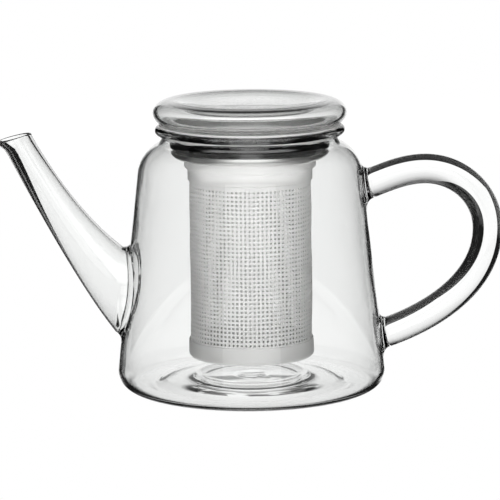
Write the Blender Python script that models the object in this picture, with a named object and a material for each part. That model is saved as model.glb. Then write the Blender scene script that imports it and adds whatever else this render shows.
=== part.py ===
"""A 1.2 litre glass teapot with a lift-out steel infuser, as separate solids.

The pot is a blown glass body with a fused glass spout and a fused solid glass handle. A steel infuser hangs in its
mouth by a flange, and a blown glass lid rests on that flange. Origin: centre of the foot, on the table plane.
+Z is up, the spout points along -X and the handle along +X. Lengths in this file are millimetres until a mesh is
made, because glassware is drawn in millimetres.
"""

import math

import bmesh
import bpy
from mathutils import Matrix, Vector

MM = 0.001

# Driving dimensions, in millimetres.
BODY_RADIUS = 64.2  # widest outer radius, just above the foot
WALL = 2.0  # thickness of the body's glass
FOOT_INNER = 46.0  # the flat foot ring runs from here to the bottom corner
CORNER = 8.8  # radius of the bottom corner
TAPER = 6.4  # degrees the wall leans inwards as it rises
SHOULDER_FOOT = (53.6, 103.4)  # radius and height where the wall turns into the shoulder
SHOULDER = 18.66  # radius of the shoulder
SHOULDER_END = 62.0  # degrees above horizontal of the shoulder's last normal
NECK_FILLET = 3.5  # hollow curve between shoulder and neck
LIP_RADIUS = 1.9  # half the thickness of the rolled lip
LIP_CENTRE = (43.2, 124.0)
PUNT_RADIUS = 37.0  # the pushed-up middle of the base
PUNT_RISE = 3.2
BASE_GLASS = 2.7  # thickness of the base

TABLE_GAP = 0.3  # clearance between pieces that rest on or are fused to each other

SPOUT_WALL = 1.8
SPOUT_ROOT_X = -50.0  # the spout's stub starts inside the body and is trimmed at its wall
SPOUT_HALF_WIDTHS = (21.5, 7.2)  # across the pot, at the root and at the tip
SPOUT_LOWER = ((-63.6, 25.2), (-81.2, 46.8), (-115.8, 114.6))  # lower edge, a quadratic curve
SPOUT_UPPER = ((-61.0, 67.8), (-83.0, 85.0), (-103.2, 121.5))  # upper edge
SPOUT_BEAK = (-120.0, 118.4)  # end of the pouring lip
BEAK_HALF_WIDTH = 7.4

HANDLE_RADIUS = 7.1
HANDLE_FLARE = 2.8  # extra radius where the rod is fused to the body
HANDLE_CURVE = (  # cubic curves in the XZ plane: point, leaving tangent, arriving tangent, next point
    ((48.0, 95.4), (57.0, 96.0), (68.5, 104.5), (83.0, 104.5)),
    ((83.0, 104.5), (98.8, 104.5), (112.9, 92.2), (112.9, 75.6)),
    ((112.9, 75.6), (112.9, 51.2), (90.4, 34.8), (66.4, 26.0)),
    ((66.4, 26.0), (62.0, 24.4), (58.0, 24.0), (54.0, 24.0)),
)

SHEET = 0.5  # steel sheet of the collar and the base cap
SLEEVE_SHEET = 0.4
SLEEVE_RADIUS = 29.0
SLEEVE_TOP = 109.0
COLLAR_RADIUS = 37.9
COLLAR_END = 116.0  # the collar's straight part ends here and rounds in towards the throat
COLLAR_CORNER = 5.0
THROAT_RADIUS = 31.3
THROAT_FILLET = 1.2
THROAT_STEP = 107.0  # the throat narrows here to lap over the sleeve
THROAT_END = 100.6
FLANGE_RADIUS = 43.2
CAP_FOOT = 15.3
CAP_TOP = 23.8
CAP_CORNER = 2.0

LID_RADIUS = 46.0  # outside of the lid's swollen rim
LID_RIM = 5.8  # half that rim's height
LID_WALL = 1.8
LID_CROWN_RADIUS = 37.0  # where the top is highest
LID_DISH_RADIUS = 24.0
LID_DISH_DEPTH = 2.4
PLUG_RADIUS = 36.4
PLUG_END = 117.4

ROUND = 48  # segments round the big turned pieces
SPOUT_ROUND = 24
ROD_ROUND = 16


def arc(centre, radius, start, end, steps):
    """Points on a circle from start to end degrees, both ends included."""
    angles = [math.radians(start + (end - start) * i / steps) for i in range(steps + 1)]
    return [(centre[0] + radius * math.cos(a), centre[1] + radius * math.sin(a)) for a in angles]


def along(curve, t):
    """The point at t on a Bezier curve of any degree."""
    points = [Vector(p) for p in curve]
    while len(points) > 1:
        points = [a.lerp(b, t) for a, b in zip(points, points[1:])]
    return points[0]


def material(name, colour, roughness, metallic=0.0, transmission=0.0):
    made = bpy.data.materials.new(name)
    made.use_nodes = True
    shader = made.node_tree.nodes["Principled BSDF"]
    shader.inputs["Base Color"].default_value = (*colour, 1.0)
    shader.inputs["Roughness"].default_value = roughness
    shader.inputs["Metallic"].default_value = metallic
    shader.inputs["Transmission Weight"].default_value = transmission
    shader.inputs["IOR"].default_value = 1.47
    return made


def add(name, made, surface=None):
    """Makes one named object out of a bmesh drawn in millimetres. Without a surface it's a hidden cutter."""
    bmesh.ops.transform(made, matrix=Matrix.Scale(MM, 4), verts=made.verts)
    bmesh.ops.recalc_face_normals(made, faces=made.faces)
    data = bpy.data.meshes.new(name)
    made.to_mesh(data)
    made.free()
    data.shade_smooth()
    data.set_sharp_from_angle(angle=math.radians(40))
    thing = bpy.data.objects.new(name, data)
    bpy.context.scene.collection.objects.link(thing)
    if surface is None:
        thing.hide_render = True
        thing.display_type = "WIRE"
    else:
        data.materials.append(surface)
    return thing


def join_rings(mesh, rings, closed=False):
    """Faces between each ring of vertices and the next. A ring of one vertex is a point on the axis."""
    pairs = list(zip(rings, rings[1:])) + ([(rings[-1], rings[0])] if closed else [])
    for low, high in pairs:
        count = max(len(low), len(high))
        for i in range(count):
            j = (i + 1) % count
            corners = [low[i % len(low)], low[j % len(low)], high[j % len(high)], high[i % len(high)]]
            face = list(dict.fromkeys(corners))
            if len(face) > 2:
                mesh.faces.new(face)


def turned(outline, segments=ROUND):
    """A solid of revolution about Z. The outline lists (radius, height) and closes on itself or on the axis."""
    mesh = bmesh.new()
    rings = []
    for radius, height in outline:
        count = segments if radius > 1e-6 else 1
        angles = [math.tau * i / segments for i in range(count)]
        rings.append([mesh.verts.new((radius * math.cos(a), radius * math.sin(a), height)) for a in angles])
    join_rings(mesh, rings, closed=len(rings[0]) > 1)
    return mesh


def lofted(sections, segments):
    """A capped solid through elliptical sections, each (centre, half axis in XZ, half width along Y)."""
    mesh = bmesh.new()
    rings = []
    for centre, half, width in sections:
        middle = Vector((centre[0], 0, centre[1]))
        up = Vector((half[0], 0, half[1]))
        across = Vector((0, width, 0))
        angles = [math.tau * i / segments for i in range(segments)]
        rings.append([mesh.verts.new(middle + up * math.cos(a) + across * math.sin(a)) for a in angles])
    join_rings(mesh, rings)
    mesh.faces.new(rings[0])
    mesh.faces.new(rings[-1])
    return mesh


def cut(thing, cutter):
    boolean = thing.modifiers.new(f"cut by {cutter.name}", "BOOLEAN")
    boolean.operation = "DIFFERENCE"
    boolean.object = cutter


def body_outside(skin):
    """The body's outer outline from the foot to the lip, grown by skin."""
    corner = (BODY_RADIUS - CORNER, CORNER)
    lean = math.radians(TAPER)
    shoulder = (
        SHOULDER_FOOT[0] - SHOULDER * math.cos(lean),
        SHOULDER_FOOT[1] - SHOULDER * math.sin(lean),
    )
    last = arc(shoulder, SHOULDER, SHOULDER_END, SHOULDER_END, 1)[0]
    turn = math.radians(SHOULDER_END)
    fillet = (last[0] + NECK_FILLET * math.cos(turn), last[1] + NECK_FILLET * math.sin(turn))
    return (
        arc(corner, CORNER + skin, -90, TAPER, 6)
        + arc(shoulder, SHOULDER + skin, TAPER, SHOULDER_END, 5)
        + arc(fillet, NECK_FILLET - skin, 180 + SHOULDER_END, 180, 3)[1:]
    )


def pot_body(surface):
    """The blown vessel: foot ring, pushed-up base, leaning wall, shoulder, short neck and rolled lip."""
    outside = body_outside(0.0)
    lip = arc(LIP_CENTRE, LIP_RADIUS, -60, 90, 5)
    lip_inner = arc(LIP_CENTRE, LIP_RADIUS, 90, 150, 2)[1:]
    inside = [(r, z) for r, z in reversed(body_outside(-WALL)) if z > BASE_GLASS]
    floor = [
        (BODY_RADIUS - CORNER, BASE_GLASS),
        (FOOT_INNER, BASE_GLASS + 0.4),
        (PUNT_RADIUS, BASE_GLASS + PUNT_RISE),
        (0.0, BASE_GLASS + PUNT_RISE + 0.5),
    ]
    underside = [(0.0, PUNT_RISE + 0.4), (PUNT_RADIUS, PUNT_RISE), (FOOT_INNER, 0.0)]
    body = add("pot_body", turned(underside + outside + lip + lip_inner + inside + floor), surface)
    cut(body, add("spout_bore_in_body", lofted(spout_sections(SPOUT_WALL), SPOUT_ROUND)))
    return body


def spout_sections(inset=0.0, steps=10):
    """Sections of the spout from its stub inside the body to the beak, shrunk by inset for the bore."""
    sections = []
    root_low, root_high = Vector(SPOUT_LOWER[0]), Vector(SPOUT_UPPER[0])
    stations = [(Vector((SPOUT_ROOT_X, root_low.y)), Vector((SPOUT_ROOT_X, root_high.y)), SPOUT_HALF_WIDTHS[0])]
    for i in range(steps + 1):
        t = i / steps
        width = SPOUT_HALF_WIDTHS[0] + (SPOUT_HALF_WIDTHS[1] - SPOUT_HALF_WIDTHS[0]) * t**0.8
        stations.append((along(SPOUT_LOWER, t), along(SPOUT_UPPER, t), width))
    beak = Vector(SPOUT_BEAK)
    stations.append((beak, Vector(SPOUT_UPPER[-1]) + Vector((-0.3, 1.0)), BEAK_HALF_WIDTH))
    if inset:  # the bore runs out past both ends, so that it opens them
        low, high, width = stations[-1]
        stations.append((low + Vector((-2.0, 3.0)), high + Vector((-2.0, 3.0)), width))
        low, high, width = stations[0]
        stations[0] = (low + Vector((2.0, 0)), high + Vector((2.0, 0)), width)
    for low, high, width in stations:
        half = (high - low) / 2
        in_plane = half.normalized() * (half.length - inset)
        sections.append(((low + high) / 2, in_plane, width - inset))
    return sections


def body_envelope():
    """A solid a little larger than the body, which trims whatever is fused to its wall."""
    outside = body_outside(TABLE_GAP)
    return [(0.0, -1.0), (BODY_RADIUS - CORNER, -1.0)] + outside + [(0.0, outside[-1][1])]


def spout(surface, envelope):
    piece = add("spout", lofted(spout_sections(), SPOUT_ROUND), surface)
    cut(piece, envelope)
    cut(piece, add("spout_bore", lofted(spout_sections(SPOUT_WALL), SPOUT_ROUND)))
    return piece


def handle_sections():
    """Round sections along the handle's centreline, flaring into the body at both ends."""
    counts = (5, 8, 10, 2)
    sections = []
    for curve, count in zip(HANDLE_CURVE, counts):
        last = curve is HANDLE_CURVE[-1]
        for i in range(count + (1 if last else 0)):
            point = along(curve, i / count)
            ahead, behind = along(curve, min(1.0, i / count + 0.01)), along(curve, max(0.0, i / count - 0.01))
            heading = (ahead - behind).normalized()
            outward = max(0.0, 1.0 - (point.x - 55.0) / 10.0)
            radius = HANDLE_RADIUS + HANDLE_FLARE * min(1.0, outward) ** 2
            sections.append((point, Vector((-heading.y, heading.x)) * radius, radius))
    return sections


def handle(surface, envelope):
    piece = add("handle", lofted(handle_sections(), ROD_ROUND), surface)
    cut(piece, envelope)
    return piece


def infuser_collar(surface):
    """Pressed steel collar: a flange on the pot's lip, a straight collar, a rounded step, a throat and a lap."""
    rest = LIP_CENTRE[1] + LIP_RADIUS + TABLE_GAP
    bend = 1.2
    lap = SLEEVE_RADIUS + TABLE_GAP
    step = COLLAR_END - COLLAR_CORNER
    fillet = (THROAT_RADIUS + THROAT_FILLET, step - THROAT_FILLET)

    def skin(grow):
        """The sheet's face, grow millimetres out from its inner face."""
        rim = [(FLANGE_RADIUS, rest + SHEET - grow)]
        bent = arc((COLLAR_RADIUS + bend, rest - bend), bend + SHEET - grow, 90, 180, 3)
        round_in = arc((COLLAR_RADIUS - COLLAR_CORNER, COLLAR_END), COLLAR_CORNER - SHEET + grow, 0, -90, 5)
        throat = arc(fillet, THROAT_FILLET + SHEET - grow, 90, 180, 3)
        narrowed = [(THROAT_RADIUS - SHEET + grow, THROAT_STEP), (lap + grow, THROAT_STEP - 1.5)]
        return rim + bent + round_in + throat + narrowed + [(lap + grow, THROAT_END)]

    outline = skin(SHEET) + list(reversed(skin(0.0)))
    return add("infuser_collar", turned(outline), surface)


def infuser_sleeve(surface):
    """The straight tube that holds the leaves. Its perforations are too fine for this solid."""
    low, high = CAP_FOOT + CAP_CORNER, SLEEVE_TOP
    inner = SLEEVE_RADIUS - SLEEVE_SHEET
    outline = [(SLEEVE_RADIUS, low), (SLEEVE_RADIUS, high), (inner, high), (inner, low)]
    return add("infuser_sleeve", turned(outline), surface)


def infuser_base(surface):
    """A shallow steel cup that closes the sleeve's lower end."""
    outer = SLEEVE_RADIUS + TABLE_GAP + SHEET
    centre = (outer - CAP_CORNER, CAP_FOOT + CAP_CORNER)
    outline = (
        [(0.0, CAP_FOOT)]
        + arc(centre, CAP_CORNER, -90, 0, 3)
        + [(outer, CAP_TOP), (outer - SHEET, CAP_TOP)]
        + arc(centre, CAP_CORNER - SHEET, 0, -90, 3)
        + [(0.0, CAP_FOOT + SHEET)]
    )
    return add("infuser_base", turned(outline), surface)


def lid(surface):
    """A blown lid: dished top, swollen rim, and an open plug that drops into the collar."""
    seat = LIP_CENTRE[1] + LIP_RADIUS + 2 * TABLE_GAP + SHEET
    widest = seat + LID_RIM
    crown = widest + LID_RIM

    def skin(inset):
        dish = crown - LID_DISH_DEPTH - inset
        slope_foot = (LID_DISH_RADIUS + 4.0, dish + 0.95)
        slope_head = (LID_CROWN_RADIUS - 5.0, crown - 0.6 - inset)
        top = [(0.0, dish), (LID_DISH_RADIUS, dish + 0.3), slope_foot, slope_head]
        across, up = LID_RADIUS - LID_CROWN_RADIUS - inset, LID_RIM - inset
        bulge = [(LID_CROWN_RADIUS + across * x, widest + up * z) for x, z in arc((0.0, 0.0), 1.0, 90, 0, 7)]
        bulge += arc((LID_RADIUS - LID_RIM, widest), up, 0, -90, 6)[1:]
        plug = PLUG_RADIUS - inset
        neck = [(plug + 1.2, seat + inset), (plug, seat - 1.0 + inset * 0.6), (plug, PLUG_END)]
        return top + bulge + neck

    outline = skin(0.0) + list(reversed(skin(LID_WALL)))
    return add("lid", turned(outline), surface)


def build():
    for thing in list(bpy.data.objects):
        bpy.data.objects.remove(thing)
    glass = material("clear_glass", (0.96, 0.98, 0.97), 0.02, transmission=1.0)
    polished = material("polished_steel", (0.62, 0.61, 0.60), 0.12, metallic=1.0)
    satin = material("satin_steel", (0.66, 0.65, 0.63), 0.34, metallic=1.0)
    envelope = add("body_envelope", turned(body_envelope()))
    pot_body(glass)
    spout(glass, envelope)
    handle(glass, envelope)
    infuser_collar(polished)
    infuser_sleeve(satin)
    infuser_base(satin)
    lid(glass)


build()
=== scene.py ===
"""Looks for the glass teapot: fused blown glass, a hollow blown lid and a perforated steel infuser.

Shapes are drawn in millimetres and made in metres. The camera, the studio and the collar's bands are in
metres. The lights hang on two empties that face the camera, so that clear glass shows its dark edges from
any side.
"""
import math

import bmesh
import bpy
import numpy as np
from mathutils import Matrix, Vector, noise


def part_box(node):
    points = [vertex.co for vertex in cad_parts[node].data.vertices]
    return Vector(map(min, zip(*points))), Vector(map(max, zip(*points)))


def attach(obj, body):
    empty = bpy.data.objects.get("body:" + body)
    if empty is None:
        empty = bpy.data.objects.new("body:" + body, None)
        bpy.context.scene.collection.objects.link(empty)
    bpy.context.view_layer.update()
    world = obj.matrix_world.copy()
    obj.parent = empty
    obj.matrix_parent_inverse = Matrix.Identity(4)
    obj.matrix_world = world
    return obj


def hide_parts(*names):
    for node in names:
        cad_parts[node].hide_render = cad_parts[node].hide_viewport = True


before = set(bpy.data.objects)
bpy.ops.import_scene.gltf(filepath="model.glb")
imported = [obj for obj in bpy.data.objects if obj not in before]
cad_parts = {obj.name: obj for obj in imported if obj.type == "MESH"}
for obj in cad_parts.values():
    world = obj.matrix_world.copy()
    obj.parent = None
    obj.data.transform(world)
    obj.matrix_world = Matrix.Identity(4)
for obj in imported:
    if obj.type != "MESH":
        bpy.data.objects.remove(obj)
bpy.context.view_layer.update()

MM = 0.001


def node_box(node):
    """A CAD node's box in millimetres."""
    low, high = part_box(node)
    return Vector(low) / MM, Vector(high) / MM


BODY_HIGH = node_box("pot_body")[1]
SPOUT_LOW = node_box("spout")[0]
COLLAR_LOW, COLLAR_HIGH = node_box("infuser_collar")
SLEEVE_LOW, SLEEVE_HIGH = node_box("infuser_sleeve")
CAP_LOW, CAP_HIGH = node_box("infuser_base")
LID_LOW, LID_HIGH = node_box("lid")


# ---------------------------------------------------------------- outlines and meshes

def arc(centre, radius, start, end, steps):
    """Points on a circle from start to end degrees, both ends included."""
    angles = [math.radians(start + (end - start) * i / steps) for i in range(steps + 1)]
    return [(centre[0] + radius * math.cos(a), centre[1] + radius * math.sin(a)) for a in angles]


def bezier(curve, t):
    """The point at t, from 0 to 1, of a Bezier curve with any number of control points."""
    points = [Vector(p) for p in curve]
    while len(points) > 1:
        points = [a.lerp(b, t) for a, b in zip(points, points[1:])]
    return points[0]


def smooth_curve(knots, steps):
    """A Catmull-Rom curve through knots, steps points to a span."""
    points = [Vector(k) for k in knots]
    padded = [2 * points[0] - points[1]] + points + [2 * points[-1] - points[-2]]
    curve = []
    for a, b, c, d in zip(padded, padded[1:], padded[2:], padded[3:]):
        for i in range(steps):
            t = i / steps
            curve.append(0.5 * (2 * b + (c - a) * t + (2 * a - 5 * b + 4 * c - d) * t * t
                                + (3 * b - a - 3 * c + d) * t ** 3))
    return [tuple(p) for p in curve] + [tuple(points[-1])]


def spread(outline, step):
    """The outline with its long straight runs divided, so that no edge is longer than step."""
    points = [outline[0]]
    for a, b in zip(outline, outline[1:]):
        count = max(1, math.ceil(math.dist(a, b) / step))
        points += [(a[0] + (b[0] - a[0]) * i / count, a[1] + (b[1] - a[1]) * i / count)
                   for i in range(1, count + 1)]
    return points


def make(name, vertices, faces, sharp=40):
    """A smooth-shaded object, from vertices in millimetres and faces."""
    data = bpy.data.meshes.new(name)
    data.from_pydata([tuple(c * MM for c in v) for v in vertices], [], faces)
    work = bmesh.new()
    work.from_mesh(data)
    bmesh.ops.recalc_face_normals(work, faces=work.faces)
    work.to_mesh(data)
    work.free()
    data.shade_smooth()
    data.set_sharp_from_angle(angle=math.radians(sharp))
    thing = bpy.data.objects.new(name, data)
    bpy.context.scene.collection.objects.link(thing)
    return thing


def ring_faces(rings, closed=False):
    """Faces between rings of vertex numbers. A ring of one is a point on the axis."""
    faces = []
    pairs = list(zip(rings, rings[1:])) + ([(rings[-1], rings[0])] if closed else [])
    for low, high in pairs:
        count = max(len(low), len(high))
        for i in range(count):
            j = (i + 1) % count
            corners = [low[i % len(low)], low[j % len(low)], high[j % len(high)], high[i % len(high)]]
            face = list(dict.fromkeys(corners))
            if len(face) > 2:
                faces.append(face)
    return faces


def turned(name, outline, segments=192, ripple=None, sharp=40):
    """A solid of revolution about Z from (radius, height) points.

    ripple(angle, height) is the distance by which a point moves outwards.
    """
    vertices, rings = [], []
    for radius, height in outline:
        count = segments if radius > 1e-6 else 1
        ring = []
        for i in range(count):
            a = math.tau * i / segments
            r = radius + (ripple(a, height) if ripple and count > 1 else 0.0)
            ring.append(len(vertices))
            vertices.append((r * math.cos(a), r * math.sin(a), height))
        rings.append(ring)
    return make(name, vertices, ring_faces(rings, closed=len(rings[0]) > 1), sharp)


def tube(name, sections):
    """A solid through rings of points, closed by a flat cap at each end."""
    vertices = [p for section in sections for p in section]
    count = len(sections[0])
    rings = [list(range(k * count, (k + 1) * count)) for k in range(len(sections))]
    return make(name, vertices, ring_faces(rings) + [rings[0][::-1], rings[-1]])


def combine(thing, operation, other):
    """Applies an exact Boolean to thing and removes the other object."""
    boolean = thing.modifiers.new(operation.lower(), "BOOLEAN")
    boolean.operation = operation
    boolean.solver = "EXACT"
    boolean.object = other
    settled = bpy.data.meshes.new_from_object(thing.evaluated_get(bpy.context.evaluated_depsgraph_get()))
    thing.modifiers.clear()
    thing.data = settled
    bpy.data.objects.remove(other)
    return thing


# ---------------------------------------------------------------- the glass pot

WALL = 1.9
BASE_GLASS = 2.7
BODY_RADIUS = BODY_HIGH.x
CORNER = 8.8  # radius of the foot's corner
TAPER = 6.4  # lean of the wall, in degrees
SHOULDER_FOOT = (53.6, 103.4)  # where the wall turns into the shoulder
SHOULDER = 18.66  # radius of the shoulder
SHOULDER_END = 62.0  # in degrees, where the shoulder turns into the neck's fillet
NECK_FILLET = 3.5
LIP_RADIUS = 1.9
LIP_CENTRE = (43.2, BODY_HIGH.z - LIP_RADIUS)
LONGEST_EDGE = 3.2  # along the vessel's outline

# The foot ring and the pushed-up base, with the small pip the blowing iron leaves, from the axis outwards.
UNDERSIDE = [(0.0, 3.1), (2.0, 3.15), (4.5, 3.5), (7.0, 3.75), (14.0, 3.6), (24.0, 3.4), (31.0, 3.25),
             (36.0, 2.8), (40.0, 1.9), (43.5, 0.85), (45.6, 0.2), (47.2, 0.0)]

# The room's floor: the pip, one low ridge round it and the slope down to the corner.
ROOM_FLOOR = [(0.0, 6.3), (2.5, 6.28), (5.5, 6.0), (9.0, 5.95), (16.0, 5.9), (21.0, 5.9), (23.0, 6.4),
              (25.0, 6.9), (27.0, 6.5), (29.0, 5.9), (37.0, 5.0), (43.0, 3.6), (48.0, 2.8),
              (52.0, BASE_GLASS - 0.1)]


def body_outside(skin, fine=1):
    """The body's outer outline from the foot to the neck, grown by skin."""
    corner = (BODY_RADIUS - CORNER, CORNER)
    lean, turn = math.radians(TAPER), math.radians(SHOULDER_END)
    shoulder = (SHOULDER_FOOT[0] - SHOULDER * math.cos(lean), SHOULDER_FOOT[1] - SHOULDER * math.sin(lean))
    last = (shoulder[0] + SHOULDER * math.cos(turn), shoulder[1] + SHOULDER * math.sin(turn))
    fillet = (last[0] + NECK_FILLET * math.cos(turn), last[1] + NECK_FILLET * math.sin(turn))
    return (
        arc(corner, CORNER + skin, -90, TAPER, 14 * fine)
        + arc(shoulder, SHOULDER + skin, TAPER, SHOULDER_END, 14 * fine)
        + arc(fillet, NECK_FILLET - skin, 180 + SHOULDER_END, 180, 8 * fine)[1:]
    )


OUTSIDE = np.array(body_outside(0.0, fine=4))
OUTSIDE = OUTSIDE[np.argsort(OUTSIDE[:, 1], kind="stable")]


def body_radius(height):
    """The body's outer radius at a height on its wall."""
    return float(np.interp(height, OUTSIDE[:, 1], OUTSIDE[:, 0]))


def on_body(point, sink=0.0):
    """The point moved out or in along its radius onto the body's outer wall, then sunk into it."""
    radius = body_radius(point.z) - sink
    flat = Vector((point.x, point.y, 0.0)).normalized() * radius
    return Vector((flat.x, flat.y, point.z))


def hand_blown(angle, height):
    """The slow thickness change of a hand-blown wall, in millimetres."""
    place = Vector((math.cos(angle) * 1.6, math.sin(angle) * 1.6, height / 38.0))
    return 0.16 * noise.noise(place) + 0.05 * noise.noise(place * 3.1 + Vector((4, 9, 2)))


def pot_vessel():
    """The outside of the vessel as a solid, and the room inside it as another."""
    lip = arc(LIP_CENTRE, LIP_RADIUS, -64, 90, 12)
    lip_inner = arc(LIP_CENTRE, LIP_RADIUS, 90, 152, 6)[1:]
    shell = spread(UNDERSIDE + body_outside(0.0), LONGEST_EDGE)
    outside = turned("pot_glass", shell + lip + lip_inner + [(0.0, lip_inner[-1][1])])
    inner = [(r, z) for r, z in body_outside(-WALL) if z > BASE_GLASS + 0.05]
    neck, lip_height = inner[-1][0], LIP_CENTRE[1]
    mouth = [(neck, lip_height - 1.2), (neck + 0.12, lip_height + 0.5), (neck + 0.9, lip_height + 4.0),
             (neck + 0.9, lip_height + 9.0), (0.0, lip_height + 9.0)]
    room = turned("room", spread(ROOM_FLOOR + inner, LONGEST_EDGE) + mouth, ripple=hand_blown)
    return outside, room


# The spout's edges in the plane of symmetry, as in the CAD, and its half width across that plane.
SPOUT_LOWER = ((-63.6, 25.2), (-81.2, 46.8), (-115.8, 114.6))
SPOUT_UPPER = ((-61.0, 67.8), (-83.0, 85.0), (-103.2, 121.5))
SPOUT_BEAK = (SPOUT_LOW.x, 118.4)
SPOUT_HALF_WIDTHS = (20.0, 7.2)
SPOUT_WALL = 1.7
SPOUT_SEGMENTS = 72
SPOUT_STUB = -0.28  # the tube's parameter at the end of the stub inside the body
SPOUT_STUB_LENGTH = 14.0
SPOUT_BEAK_SPAN = 0.06  # of the tube's parameter, over which the beak turns outwards
SPOUT_END = 1 + SPOUT_BEAK_SPAN


def spout_station(t):
    """Lower edge, upper edge and half width of the spout at t, from 0 at the wall to 1 below the beak."""
    if t < 0:
        low, high = Vector(SPOUT_LOWER[0]), Vector(SPOUT_UPPER[0])
        shift = Vector((t / SPOUT_STUB * -SPOUT_STUB_LENGTH, 0.0))
        return low - shift, high - shift, SPOUT_HALF_WIDTHS[0]
    width = SPOUT_HALF_WIDTHS[0] + (SPOUT_HALF_WIDTHS[1] - SPOUT_HALF_WIDTHS[0]) * min(t, 1.0) ** 0.72
    low, high = bezier(SPOUT_LOWER, min(t, 1.0)), bezier(SPOUT_UPPER, min(t, 1.0))
    if t > 1:
        k = (t - 1.0) / SPOUT_BEAK_SPAN
        low = low.lerp(Vector(SPOUT_BEAK), k ** 0.8)
        high = high.lerp(Vector(SPOUT_UPPER[-1]) + Vector((-0.3, 1.0)), k)
        width += 0.25 * k
    return low, high, width


def spout_point(t, angle, inset=0.0, shift=0.0):
    """A point of the tube's skin, moved inwards by inset and onwards by shift."""
    low, high, width = spout_station(t)
    half = (high - low) / 2
    middle = (low + high) / 2
    up = half.normalized() * (half.length - inset)
    ahead = Vector((-half.y, half.x)).normalized() * shift
    flat = middle + up * math.cos(angle) + ahead
    return Vector((flat.x, (width - inset) * math.sin(angle), flat.y))


def wall_crossing(line, low, high):
    """The parameter between low and high at which line(t) passes out through the body's outer wall."""
    for _ in range(40):
        middle = (low + high) / 2
        point = line(middle)
        inside = math.hypot(point.x, point.y) < body_radius(point.z)
        low, high = (middle, high) if inside else (low, middle)
    return (low + high) / 2


ROOT_STEP = 0.002  # of a line's parameter, when a root's outer end is looked for
ROOT_ROWS = 8


def fused_root(lines, low, high, out, spread_out):
    """Rings of a smooth fused joint between the body and a tube whose lines run outwards.

    Each line passes the body's wall between low and high. The joint leaves the wall at a slight angle,
    spread_out from the true corner, and meets each line where it is out millimetres from the wall. Returns
    the rings and each line's parameter at the last ring.
    """
    corners, starts = [], []
    for line in lines:
        t = wall_crossing(line, low, high)
        corners.append(line(t))
        start = t
        while (line(start) - line(t)).length < out:
            start += ROOT_STEP
        starts.append(start)
    count = len(lines)
    feet = []
    centre = sum(corners, Vector()) / count
    for i, corner in enumerate(corners):
        along_joint = corners[(i + 1) % count] - corners[i - 1]
        normal = Vector((corner.x, corner.y, 0)).normalized()
        away = along_joint.cross(normal).normalized()
        if away.dot(corner - centre) < 0:
            away = -away
        feet.append(on_body(corner + away * spread_out, sink=0.1))
    rings = [[on_body(foot, sink=1.2) for foot in feet]]
    for k in range(ROOT_ROWS + 1):
        s = k / ROOT_ROWS
        rings.append([
            foot * (1 - s) ** 2 + corner * 2 * s * (1 - s) + line(start) * s * s
            for line, start, foot, corner in zip(lines, starts, feet, corners)
        ])
    return rings, starts


def spout_solids():
    """The spout's outside, fused at its root and rounded at its lip, and its bore."""
    angles = [math.tau * i / SPOUT_SEGMENTS for i in range(SPOUT_SEGMENTS)]
    lines = [lambda t, a=a: spout_point(t, a) for a in angles]
    rings, starts = fused_root(lines, SPOUT_STUB, 0.3, out=3.4, spread_out=2.6)
    rows = 56
    for k in range(1, rows + 1):
        rings.append([line(start + (SPOUT_END - start) * k / rows) for line, start in zip(lines, starts)])
    half_wall = SPOUT_WALL / 2

    def lip_turn(degrees):
        turn = math.radians(degrees)
        return half_wall * (1 - math.cos(turn)), half_wall * math.sin(turn)
    for degrees in (18, 36, 54, 72, 90):
        inset, rise = lip_turn(degrees)
        rings.append([spout_point(SPOUT_END, a, inset, rise) for a in angles])
    rows = 60
    bore = [[spout_point(SPOUT_STUB + (SPOUT_END - SPOUT_STUB) * k / rows, a, SPOUT_WALL) for a in angles]
            for k in range(rows + 1)]
    for degrees in (18, 36, 54, 72, 88):
        inset, rise = lip_turn(degrees)
        bore.append([spout_point(SPOUT_END, a, SPOUT_WALL - inset - 0.02, rise) for a in angles])
    bore.append([spout_point(SPOUT_END, a, half_wall - 0.4, half_wall + 3.0) for a in angles])
    return tube("spout_outside", rings), tube("spout_bore", bore)


HANDLE_RADIUS = 7.1
HANDLE_CURVE = (
    ((48.0, 95.4), (57.0, 96.0), (68.5, 104.5), (83.0, 104.5)),
    ((83.0, 104.5), (98.8, 104.5), (112.9, 92.2), (112.9, 75.6)),
    ((112.9, 75.6), (112.9, 51.2), (90.4, 34.8), (66.4, 26.0)),
    ((66.4, 26.0), (62.0, 24.4), (58.0, 24.0), (54.0, 24.0)),
)
HANDLE_SEGMENTS = 48


def handle_line(angle, flip):
    """One line along the rod's surface. t runs from 0 to 4, end to end; flip starts it at the lower end."""
    def point(t):
        t = 4.0 - t if flip else t
        span = min(3, max(0, int(t)))
        curve, local = HANDLE_CURVE[span], t - span
        middle = bezier(curve, local)
        ahead = bezier(curve, min(1.0, local + 0.01)) - bezier(curve, max(0.0, local - 0.01))
        across = Vector((-ahead.y, ahead.x)).normalized() * HANDLE_RADIUS
        flat = middle + across * math.cos(angle)
        return Vector((flat.x, HANDLE_RADIUS * math.sin(angle), flat.y))
    return point


def handle_solid():
    """The bent rod, fused at both ends."""
    angles = [math.tau * i / HANDLE_SEGMENTS for i in range(HANDLE_SEGMENTS)]
    lines = [handle_line(a, False) for a in angles]
    upper, first = fused_root(lines, 0.0, 0.8, out=4.2, spread_out=4.6)
    lower, last = fused_root([handle_line(a, True) for a in angles], 0.0, 0.99, out=3.8, spread_out=4.2)
    rows = 130
    middle = [[line(start + (4.0 - end - start) * k / rows) for line, start, end in zip(lines, first, last)]
              for k in range(1, rows)]
    return tube("handle_solid", upper + middle + lower[::-1])


def pot_glass():
    """The vessel, the spout and the handle fused into one piece of glass."""
    pot, room = pot_vessel()
    outside, bore = spout_solids()
    pot = combine(pot, "UNION", outside)
    pot = combine(pot, "UNION", handle_solid())
    pot = combine(pot, "DIFFERENCE", room)
    pot = combine(pot, "DIFFERENCE", bore)
    return pot


# ---------------------------------------------------------------- the lid

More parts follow.
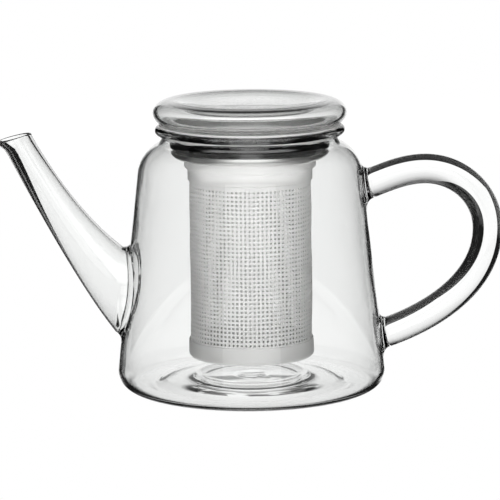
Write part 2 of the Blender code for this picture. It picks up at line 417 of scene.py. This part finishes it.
LID_WALL = 1.8
LID_SEAT_DEPTH = 11.6  # from the crown down to the face that rests on the flange
LID_CROWN_RADIUS = 37.0
LID_DISH_DEPTH = 2.4
LID_PLUG_RADIUS = 36.4
LID_RIM_ACROSS, LID_RIM_BELOW = 5.8, 5.6  # the rim's underside, across and down from its widest place


def oval(centre, across, up, start, end, steps):
    """Points on an oval from start to end degrees, both ends included."""
    return [(centre[0] + across * x, centre[1] + up * y) for x, y in arc((0.0, 0.0), 1.0, start, end, steps)]


def moved_in(outline, depth):
    """The outline moved to its right by depth."""
    points = [Vector(p) for p in outline]
    moved = []
    for i, point in enumerate(points):
        ahead = points[min(i + 1, len(points) - 1)] - points[max(i - 1, 0)]
        moved.append(tuple(point + Vector((ahead.y, -ahead.x)).normalized() * depth))
    return moved


def lid_ripple(angle, height):
    """The slight unevenness of the blown lid, in millimetres."""
    return 0.05 * noise.noise(Vector((math.cos(angle), math.sin(angle), height / 9.0)) * 1.7)


def lid_glass():
    """A blown lid: dished top, swollen rim and an open plug, with a hollow that follows the outside."""
    crown, rim, plug = LID_HIGH.z, LID_HIGH.x, LID_PLUG_RADIUS
    seat, dish, foot = crown - LID_SEAT_DEPTH, crown - LID_DISH_DEPTH, LID_LOW.z + LID_WALL / 2
    widest = seat + LID_RIM_BELOW
    top = smooth_curve([(0.0, dish), (10.0, dish + 0.02), (19.0, dish + 0.1), (24.0, dish + 0.35),
                        (28.0, dish + 0.95), (32.0, crown - 0.62), (35.0, crown - 0.1),
                        (LID_CROWN_RADIUS, crown)], 4)
    bulge = oval((LID_CROWN_RADIUS, widest), rim - LID_CROWN_RADIUS, crown - widest, 88, 0, 20)
    under = oval((rim - LID_RIM_ACROSS, widest), LID_RIM_ACROSS, widest - seat, -5, -80, 14)
    neck = smooth_curve([(plug + 2.3, seat + 0.25), (plug + 0.7, seat - 0.4), (plug + 0.1, seat - 2.2),
                         (plug, seat - 4.5), (plug - 0.1, foot)], 4)
    outside = spread(top + bulge + under + neck, 2.5)
    inside = moved_in(outside, LID_WALL)
    inside[0] = (0.0, inside[0][1])
    end = arc((plug - 0.1 - LID_WALL / 2, foot), LID_WALL / 2, 0, -180, 8)[1:-1]
    return turned("lid_glass", outside + end + inside[::-1], ripple=lid_ripple, sharp=60)


# ---------------------------------------------------------------- the infuser

SHEET = 0.5  # the collar's and the cap's thickness
STEEL_SEGMENTS = 160
COLLAR_RADIUS = 37.9
COLLAR_STEP = 111.0  # height of the step from the collar in to the throat
THROAT_RADIUS = 31.3
SLEEVE_SHEET = 0.4
SLEEVE_COLUMNS, SLEEVE_HOLE = 90, 1.0


def sheet_outline(middle):
    """Both faces of a bent sheet whose middle line is given, with rounded edges."""
    points = [Vector(p) for p in middle]
    left, right = [], []
    for i, point in enumerate(points):
        ahead = points[min(i + 1, len(points) - 1)] - points[max(i - 1, 0)]
        side = Vector((-ahead.y, ahead.x)).normalized() * SHEET / 2
        left.append(tuple(point + side))
        right.append(tuple(point - side))

    def edge(index, towards):
        ahead = (points[index] - points[towards]).normalized()
        return tuple(points[index] + ahead * SHEET * 0.35)
    return left + [edge(-1, -2)] + right[::-1] + [edge(0, 1)]


def infuser_collar():
    """Pressed steel: a flange with a rolled edge, a straight collar, a rounded step and a beaded throat."""
    top = COLLAR_HIGH.z - SHEET / 2
    outer, throat = COLLAR_RADIUS - SHEET / 2, THROAT_RADIUS - SHEET / 2
    lap = SLEEVE_HIGH.x + 0.3 + SHEET / 2
    bend, corner, fillet = 1.5, 5.0 - SHEET / 2, 1.2
    step = COLLAR_STEP + SHEET / 2
    flange = [(COLLAR_HIGH.x - 0.2, top - 0.05), (COLLAR_HIGH.x - 1.5, top), (outer + bend + 1.0, top)]
    bent = arc((outer + bend, top - bend), bend, 90, 180, 8)
    round_in = arc((outer - corner, step + corner), corner, 0, -90, 16)
    into_throat = arc((throat + fillet, step - fillet), fillet, 90, 180, 6)
    neck = smooth_curve([(throat, step - fillet - 0.2), (throat, 108.2), (throat - 0.15, 107.3),
                         (lap + 0.3, 106.4), (lap, 105.6), (lap, 103.2), (lap, COLLAR_LOW.z + 0.2)], 5)
    middle = spread(flange + bent + round_in + into_throat + neck, 0.8)
    return turned("infuser_collar_steel", sheet_outline(middle), segments=STEEL_SEGMENTS)


def infuser_cap():
    """The drawn cap that closes the sleeve: rounded corner, a shallow stiffening ring and a curled edge."""
    outer = CAP_HIGH.x - SHEET / 2
    low, high = CAP_LOW.z + SHEET / 2, CAP_HIGH.z
    disc = smooth_curve([(0.0, low + 0.5), (8.0, low + 0.5), (17.0, low + 0.5), (20.0, low + 0.05),
                         (23.0, low), (outer - 2.0, low)], 4)
    bend = 1.75
    corner = arc((outer - bend, low + bend), bend, -90, 0, 8)
    wall = [(outer, low + 4.0), (outer, high - 1.2), (outer - 0.04, high - 0.2)]
    middle = disc + corner + wall
    outline = sheet_outline(middle)
    count = len(middle)
    outline[0] = (0.0, middle[0][1] + SHEET / 2)  # both faces end on the axis
    outline[2 * count] = (0.0, middle[0][1] - SHEET / 2)
    return turned("infuser_cap_steel", outline[:2 * count + 1], segments=STEEL_SEGMENTS)


def infuser_sleeve():
    """A rolled steel sheet with square perforations in straight rows, plain at both ends."""
    radius = SLEEVE_HIGH.x
    pitch = math.tau * radius / SLEEVE_COLUMNS
    first, last = CAP_HIGH.z + 0.7, COLLAR_LOW.z - 0.9
    rows = int((last - first) / pitch)
    angles = []
    for i in range(SLEEVE_COLUMNS):
        start = math.tau * i / SLEEVE_COLUMNS
        angles += [start, start + SLEEVE_HOLE / radius]
    heights = [SLEEVE_LOW.z]
    for j in range(rows):
        start = first + j * pitch
        heights += [start, start + SLEEVE_HOLE]
    heights.append(SLEEVE_HIGH.z)
    rings = len(heights)
    around = len(angles)
    vertices = []
    for r in (radius, radius - SLEEVE_SHEET):
        for z in heights:
            vertices += [(r * math.cos(a), r * math.sin(a), z) for a in angles]

    def number(face, j, i):
        return (face * rings + j) * around + i % around
    faces = []
    for j in range(rings - 1):
        for i in range(around):
            is_hole = i % 2 == 0 and j % 2 == 1
            if not is_hole:
                for face in (0, 1):
                    faces.append((number(face, j, i), number(face, j, i + 1),
                                  number(face, j + 1, i + 1), number(face, j + 1, i)))
                continue
            corners = [(j, i), (j, i + 1), (j + 1, i + 1), (j + 1, i)]
            for (ja, ia), (jb, ib) in zip(corners, corners[1:] + corners[:1]):
                faces.append((number(0, ja, ia), number(0, jb, ib), number(1, jb, ib), number(1, ja, ia)))
    for i in range(around):
        for j in (0, rings - 1):
            faces.append((number(0, j, i), number(0, j, i + 1), number(1, j, i + 1), number(1, j, i)))
    return make("infuser_sleeve_steel", vertices, faces, sharp=50)


# ---------------------------------------------------------------- materials

class Graph:
    """A node tree, with short forms for adding nodes and for sums on their values."""

    def __init__(self, tree):
        self.nodes, self.links = tree.nodes, tree.links

    def put(self, socket, value):
        """Links the value to the socket, or writes it there when it is a plain one."""
        if isinstance(value, bpy.types.NodeSocket):
            self.links.new(value, socket)
        else:
            socket.default_value = value

    def add(self, kind, **inputs):
        """A new shader node. Its inputs are named with _ for each space."""
        node = self.nodes.new("ShaderNode" + kind)
        for key, value in inputs.items():
            self.put(node.inputs[key.replace("_", " ")], value)
        return node

    def maths(self, operation, *values):
        node = self.add("Math")
        node.operation = operation
        for socket, value in zip(node.inputs, values):
            self.put(socket, value)
        return node.outputs["Value"]

    def product(self, first, *others):
        for other in others:
            first = self.maths("MULTIPLY", first, other)
        return first

    def remap(self, source, low, high):
        """A noise's middle range, spread from low to high."""
        ranged = self.add("MapRange", Value=source, From_Min=0.3, From_Max=0.7, To_Min=low, To_Max=high)
        return ranged.outputs["Result"]

    def smooth_step(self, source, start, end):
        """0 before start and 1 after end; the other way round when start is above end."""
        rising = start < end
        ranged = self.add("MapRange", Value=source, From_Min=min(start, end), From_Max=max(start, end),
                          To_Min=0.0 if rising else 1.0, To_Max=1.0 if rising else 0.0)
        ranged.interpolation_type = "SMOOTHSTEP"
        return ranged.outputs["Result"]

    def axes(self, vector):
        """The vector's X, Y and Z."""
        return self.add("SeparateXYZ", Vector=vector).outputs

    def noise(self, scale, detail, stretch=(1, 1, 1)):
        """Noise in the object's own space, in features per metre, stretched along the axes."""
        mapping = self.add("Mapping", Vector=self.add("TexCoord").outputs["Object"], Scale=stretch)
        texture = self.add("TexNoise", Vector=mapping.outputs["Vector"], Scale=scale, Detail=detail)
        return texture.outputs["Fac"]

    def bump(self, height, strength, distance):
        node = self.add("Bump", Strength=strength, Distance=distance, Height=height)
        return node.outputs["Normal"]


def surface(name):
    """A new material, its graph and its shader's inputs."""
    made = bpy.data.materials.new(name)
    made.use_nodes = True
    graph = Graph(made.node_tree)
    return made, graph, graph.nodes["Principled BSDF"].inputs


def glass_material(name, waviness):
    """Clear borosilicate: fire-polished, with a slow ripple and the faintest film of handling."""
    made, graph, shader = surface(name)
    graph.put(shader["Base Color"], (0.985, 0.99, 0.986, 1))
    graph.put(shader["IOR"], 1.47)
    graph.put(shader["Transmission Weight"], 1.0)
    graph.put(shader["Roughness"], graph.remap(graph.noise(55.0, 3.0), 0.0, 0.012))
    graph.put(shader["Normal"], graph.bump(graph.noise(70.0, 2.0), waviness, 0.0004))
    return made


def steel_material(name, colour, roughness, grain, stretch, metallic):
    """Stainless steel with a directional grain in its gloss and a slight change of tone."""
    made, graph, shader = surface(name)
    graph.put(shader["Metallic"], metallic)
    mix = graph.add("Mix")
    mix.data_type = "RGBA"
    graph.put(mix.inputs["A"], (*[c * 0.93 for c in colour], 1))
    graph.put(mix.inputs["B"], (*colour, 1))
    graph.put(mix.inputs["Factor"], graph.remap(graph.noise(90.0, 2.0), 0.0, 1.0))
    graph.put(shader["Base Color"], mix.outputs["Result"])
    lines = graph.noise(900.0, 2.0, stretch)
    graph.put(shader["Roughness"], graph.remap(lines, roughness * 0.8, roughness * 1.2))
    graph.put(shader["Normal"], graph.bump(lines, grain, 0.00005))
    return made


BAND_BORDER = 0.0003  # half the width over which a band begins or ends


def change_band(material, low, high, **targets):
    """Between two heights, the outward faces' named shader inputs take other values."""
    graph = Graph(material.node_tree)
    shader = graph.nodes["Principled BSDF"].inputs
    place = graph.add("TexCoord")
    at, facing = graph.axes(place.outputs["Object"]), graph.axes(place.outputs["Normal"])
    outward = graph.maths("ADD", *[graph.product(at[axis], facing[axis]) for axis in "XY"])
    band = graph.product(graph.smooth_step(at["Z"], low - BAND_BORDER, low + BAND_BORDER),
                         graph.smooth_step(at["Z"], high + BAND_BORDER, high - BAND_BORDER),
                         graph.maths("GREATER_THAN", outward, 0.0))
    for key, target in targets.items():
        socket = shader[key.replace("_", " ")]
        mix = graph.add("Mix")
        mix.data_type = "RGBA" if socket.type == "RGBA" else "FLOAT"
        factor, usual, changed = [port for port in mix.inputs if port.enabled]
        graph.put(factor, band)
        graph.put(usual, socket.links[0].from_socket if socket.is_linked else socket.default_value)
        graph.put(changed, target)
        graph.put(socket, [port for port in mix.outputs if port.enabled][0])


def dress(piece, body, material, slot, *nodes):
    """Gives a piece its material, names its body and hides the CAD nodes it stands for. The library slot is
    not used.
    """
    piece.data.materials.clear()
    piece.data.materials.append(material)
    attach(piece, body)
    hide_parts(*nodes)


COLLAR_TONE, COLLAR_GRAIN = (0.91, 0.905, 0.895), (0.02, 0.02, 1.0)
SATIN_TONE = (0.92, 0.915, 0.905)
GRAIN_AROUND, GRAIN_UPRIGHT = (0.05, 0.05, 1.0), (1.0, 1.0, 0.05)
# Over the second band of heights the collar's base colour is a painted dark reflection, given just below.
STEP_BAND, PAINTED_REFLECTION_BAND = (0.1112, 0.1150), (0.1147, 0.1245)  # heights on the collar
PAINTED_DARK_REFLECTION = (0.09, 0.09, 0.09, 1)

pot_surface = glass_material("blown_glass", 0.04)
lid_surface = glass_material("lid_glass_surface", 0.05)
collar_steel = steel_material("collar_steel", COLLAR_TONE, 0.42, 0.05, COLLAR_GRAIN, 0.1)
change_band(collar_steel, *STEP_BAND, Metallic=1.0, Roughness=0.28)
# Painted dark reflection: a dark base colour on the collar's outward faces over this band.
change_band(collar_steel, *PAINTED_REFLECTION_BAND, Metallic=1.0, Base_Color=PAINTED_DARK_REFLECTION, Roughness=0.04)
satin = steel_material("satin_sleeve_steel", SATIN_TONE, 0.5, 0.2, GRAIN_UPRIGHT, 0.08)
satin_cap = steel_material("satin_cap_steel", SATIN_TONE, 0.4, 0.15, GRAIN_AROUND, 0.12)

dress(pot_glass(), "pot", pot_surface, "clear_glass", "pot_body", "spout", "handle")
dress(lid_glass(), "lid", lid_surface, "clear_glass", "lid")
dress(infuser_collar(), "infuser", collar_steel, "polished_steel", "infuser_collar")
dress(infuser_sleeve(), "infuser", satin, "satin_steel", "infuser_sleeve")
dress(infuser_cap(), "infuser", satin_cap, "satin_steel", "infuser_base")


# ---------------------------------------------------------------- camera and the empties that face it

SENSOR = 36.0
PHOTO_WIDTH = 500
PIXELS_PER_MM = 2.128  # in the photo, at the pot's axis
CAMERA_AWAY = 1438  # in millimetres
CAMERA_PLACE = Vector((-0.0004, -CAMERA_AWAY * MM, 0.322))
CAMERA_AIM = Vector((-0.0004, 0.0, 0.0659))
CAMERA_ROLL = math.radians(-0.5)

scene = bpy.context.scene


def added(name, data):
    """A new object of the scene's."""
    made = bpy.data.objects.new(name, data)
    scene.collection.objects.link(made)
    return made


def looking(place, direction):
    """The matrix of a thing at place whose -Z runs along direction."""
    return Matrix.Translation(place) @ direction.to_track_quat("-Z", "Y").to_matrix().to_4x4()


camera_data = bpy.data.cameras.new("camera")
camera_data.sensor_width = SENSOR
camera_data.lens = SENSOR * PIXELS_PER_MM * CAMERA_AWAY / PHOTO_WIDTH
camera_data.clip_start, camera_data.clip_end = 0.05, 30.0
camera = added("camera", camera_data)
camera.matrix_world = looking(CAMERA_PLACE, CAMERA_AIM - CAMERA_PLACE) @ Matrix.Rotation(CAMERA_ROLL, 4, "Z")
scene.camera = camera


def pivot(name, height, kind):
    """An empty on the pot's axis that keeps facing the camera, so that every view has the same light."""
    made = added(name, None)
    made.location = (0.0, 0.0, height)
    facing = made.constraints.new(kind)
    facing.target = camera
    return made, facing


stand, facing = pivot("stand", 0.066, "TRACK_TO")  # +Z points at the camera, and +Y up
facing.track_axis, facing.up_axis = "TRACK_Z", "UP_Y"
turntable, facing = pivot("turntable", 0.0, "LOCKED_TRACK")  # -Y points at the camera, and +Z up
facing.track_axis, facing.lock_axis = "TRACK_NEGATIVE_Y", "LOCK_Z"


# ---------------------------------------------------------------- studio

BACKDROP_LIGHT = 1.02
BACKDROP_FADE = (0.80, 0.05)  # heights on the backdrop at which its light is out and full
OVERHEAD_LIGHT = 2.3
OVERHEAD_SIZE = (3.6, 1.5)
ROOM_LIGHT = 0.012

# The floor as glass and steel see it, a glowing sheet with painted light and shade. Each pair holds the
# distances at which the light is out and full, from the pot's axis or across and behind it.
FLOOR_LEAST = 0.01
SWEEP_LIGHT, NARROW_LIGHT = 2.8, 1.5
SWEEP_SIDE, NARROW_SIDE = (1.15, 0.60), (0.16, 0.05)
SWEEP_FRONT, SWEEP_BACK = (-0.90, -0.50), (-0.066, -0.110)
# The disc's edge, with the dark gap before the sweep, is a painted contact shadow round the foot.
DISC_EDGE, DISC_BACK_EDGE = (0.0605, 0.0575), (0.070, 0.066)
DISC_BACK_START = (-0.01, 0.02)
OPEN_EDGE, OPEN_BEHIND = (0.064, 0.066), -0.02

# Painted shade under the pot, the dark strokes that glass shows through its base: an oval ring broken by
# noise and a dot, set towards the camera.
# Here each pair holds where the dark starts and where it is full.
STROKE_SHIFT, STROKE_SQUASH = 0.009, 1.3
STROKE_INNER, STROKE_OUTER = (0.013, 0.021), (0.035, 0.0295)
STROKE_NOISE, STROKE_BREAKS = 70.0, (0.40, 0.47)
STROKE_DOT = (0.0085, 0.0065)
STROKE_STEEPNESS = (0.44, 0.27)  # height of the direction to the eye, as a sine


def panel(name, low, high, height, strength=1.0):
    """A flat glowing sheet in the XY plane, with its graph."""
    data = bpy.data.meshes.new(name)
    corners = [(low[0], low[1]), (high[0], low[1]), (high[0], high[1]), (low[0], high[1])]
    data.from_pydata([(x, y, height) for x, y in corners], [], [(0, 1, 2, 3)])
    glow = bpy.data.materials.new(name)
    glow.use_nodes = True
    graph = Graph(glow.node_tree)
    graph.nodes.clear()
    light = graph.add("Emission", Strength=strength)
    graph.add("OutputMaterial", Surface=light.outputs["Emission"])
    data.materials.append(glow)
    thing = added(name, data)
    return thing, graph


def painted_shade_strokes(graph, place, side, behind):
    """How dark the painted shade strokes are, from 0 to 1. They fade out for steep views."""
    patches = graph.add("TexNoise", Scale=STROKE_NOISE, Vector=place)
    forward = graph.product(graph.maths("ADD", behind, STROKE_SHIFT), STROKE_SQUASH)
    away = graph.maths("SQRT", graph.maths("ADD", graph.maths("POWER", side, 2.0),
                                           graph.product(forward, forward)))
    ring = graph.product(graph.smooth_step(away, *STROKE_INNER), graph.smooth_step(away, *STROKE_OUTER),
                         graph.smooth_step(patches.outputs["Fac"], *STROKE_BREAKS))
    strokes = graph.maths("MAXIMUM", ring, graph.smooth_step(away, *STROKE_DOT))
    to_eye = graph.axes(graph.add("NewGeometry").outputs["Incoming"])
    return graph.product(strokes, graph.smooth_step(to_eye["Z"], *STROKE_STEEPNESS))


def white_floor():
    """The floor the camera sees is white throughout.

    Steel and glass see painted light and shade: a white sweep in front of the pot, a white disc with painted
    dark strokes under it and a dark ring round its foot, a painted contact shadow. Behind the pot they see
    past the floor to the backdrop. Only light that has met satin steel sees the sweep's whole width, which
    would otherwise grey the dark edges of the glass.
    """
    _, graph = panel("floor", (-1.2, -1.2), (1.2, 1.2), -0.0002)
    coordinates = graph.add("TexCoord")
    coordinates.object = turntable
    place = coordinates.outputs["Object"]
    path = graph.add("LightPath").outputs
    across, behind = graph.axes(place)[:2]
    side = graph.maths("ABSOLUTE", across)
    radius = graph.maths("SQRT", graph.maths("ADD", graph.maths("POWER", side, 2.0),
                                             graph.product(behind, behind)))
    # The disc is a painted pool of light under the pot, for glass and steel only.
    disc_behind = graph.product(graph.smooth_step(radius, *DISC_BACK_EDGE),
                                graph.smooth_step(behind, *DISC_BACK_START))
    disc = graph.maths("MAXIMUM", graph.smooth_step(radius, *DISC_EDGE), disc_behind)
    disc = graph.product(disc, graph.maths("SUBTRACT", 1.0, painted_shade_strokes(graph, place, side, behind)))
    # The sweep is a painted pool of light in front of the pot, for glass and steel only.
    sweep = graph.product(graph.smooth_step(side, *SWEEP_SIDE),
                          graph.product(graph.smooth_step(behind, *SWEEP_FRONT),
                                        graph.smooth_step(behind, *SWEEP_BACK)))
    off_satin = graph.maths("GREATER_THAN", path["Diffuse Depth"], 0.5)
    wide = graph.product(sweep, SWEEP_LIGHT, off_satin)
    narrow = graph.product(sweep, NARROW_LIGHT, graph.smooth_step(side, *NARROW_SIDE))
    lit = graph.maths("MAXIMUM", disc, graph.maths("MAXIMUM", wide, narrow))
    lit = graph.maths("MAXIMUM", lit, FLOOR_LEAST)
    to_camera = path["Is Camera Ray"]
    elsewhere = graph.maths("SUBTRACT", 1.0, to_camera)
    light = graph.nodes["Emission"]
    graph.put(light.inputs["Strength"], graph.maths("ADD", graph.product(lit, elsewhere), to_camera))
    open_part = graph.product(graph.smooth_step(radius, *OPEN_EDGE),
                              graph.maths("GREATER_THAN", behind, OPEN_BEHIND), elsewhere)
    choose = graph.add("MixShader", Fac=open_part)
    graph.put(choose.inputs[1], light.outputs["Emission"])
    graph.put(choose.inputs[2], graph.add("BsdfTransparent").outputs["BSDF"])
    graph.put(graph.nodes["Material Output"].inputs["Surface"], choose.outputs["Shader"])


def backdrop():
    """The lens sees the backdrop white throughout; glass sees it fade to dark towards its top."""
    sheet, graph = panel("backdrop", (-0.235, -0.27), (0.293, 0.85), -0.762)
    height = graph.axes(graph.add("TexCoord").outputs["Object"])["Y"]
    glow = graph.product(graph.smooth_step(height, *BACKDROP_FADE), BACKDROP_LIGHT)
    to_camera = graph.add("LightPath").outputs["Is Camera Ray"]
    graph.put(graph.nodes["Emission"].inputs["Strength"], graph.maths("MAXIMUM", glow, to_camera))
    sheet.parent = stand


def front_card():
    """A white card behind the camera, for the reflections on steel and glass."""
    card, _ = panel("front_card", (-0.8, -0.8), (0.8, 0.3), 1.72)
    card.parent = stand
    card.visible_camera = False


def overhead(place, aim):
    """A glowing sheet that fades towards its edges and that the lens doesn't see."""
    half = (OVERHEAD_SIZE[0] / 2, OVERHEAD_SIZE[1] / 2)
    sheet, graph = panel("overhead", (-half[0], -half[1]), half, 0.0)
    where = graph.axes(graph.add("TexCoord").outputs["Object"])
    glow = OVERHEAD_LIGHT
    for axis, reach in zip("XY", half):
        from_middle = graph.maths("ABSOLUTE", where[axis])
        glow = graph.product(graph.smooth_step(from_middle, reach, reach * 0.45), glow)
    graph.put(graph.nodes["Emission"].inputs["Strength"], glow)
    sheet.matrix_world = looking(place, aim - place)
    sheet.visible_camera = False
    sheet.parent = turntable


def room_light():
    """The world: white to the lens and nearly dark to all else."""
    world = bpy.data.worlds.new("room")
    scene.world = world
    world.use_nodes = True
    graph = Graph(world.node_tree)
    graph.nodes.clear()
    choose = graph.add("MixShader", Fac=graph.add("LightPath").outputs["Is Camera Ray"])
    for socket, tone in zip(choose.inputs[1:], (ROOM_LIGHT, 1.0)):
        graph.put(socket, graph.add("Background", Color=(tone, tone, tone, 1)).outputs["Background"])
    graph.add("OutputWorld", Surface=choose.outputs["Shader"])


white_floor()
backdrop()
front_card()
overhead(Vector((0.0, -0.75, 1.05)), Vector((0, 0, 0.07)))
room_light()

scene.view_settings.view_transform = "Standard"
scene.view_settings.look = "None"
scene.cycles.max_bounces = 24
scene.cycles.transmission_bounces = 24
scene.cycles.glossy_bounces = 8
scene.cycles.transparent_max_bounces = 16
scene.cycles.sample_clamp_indirect = 6.0
scene.cycles.use_denoising = True
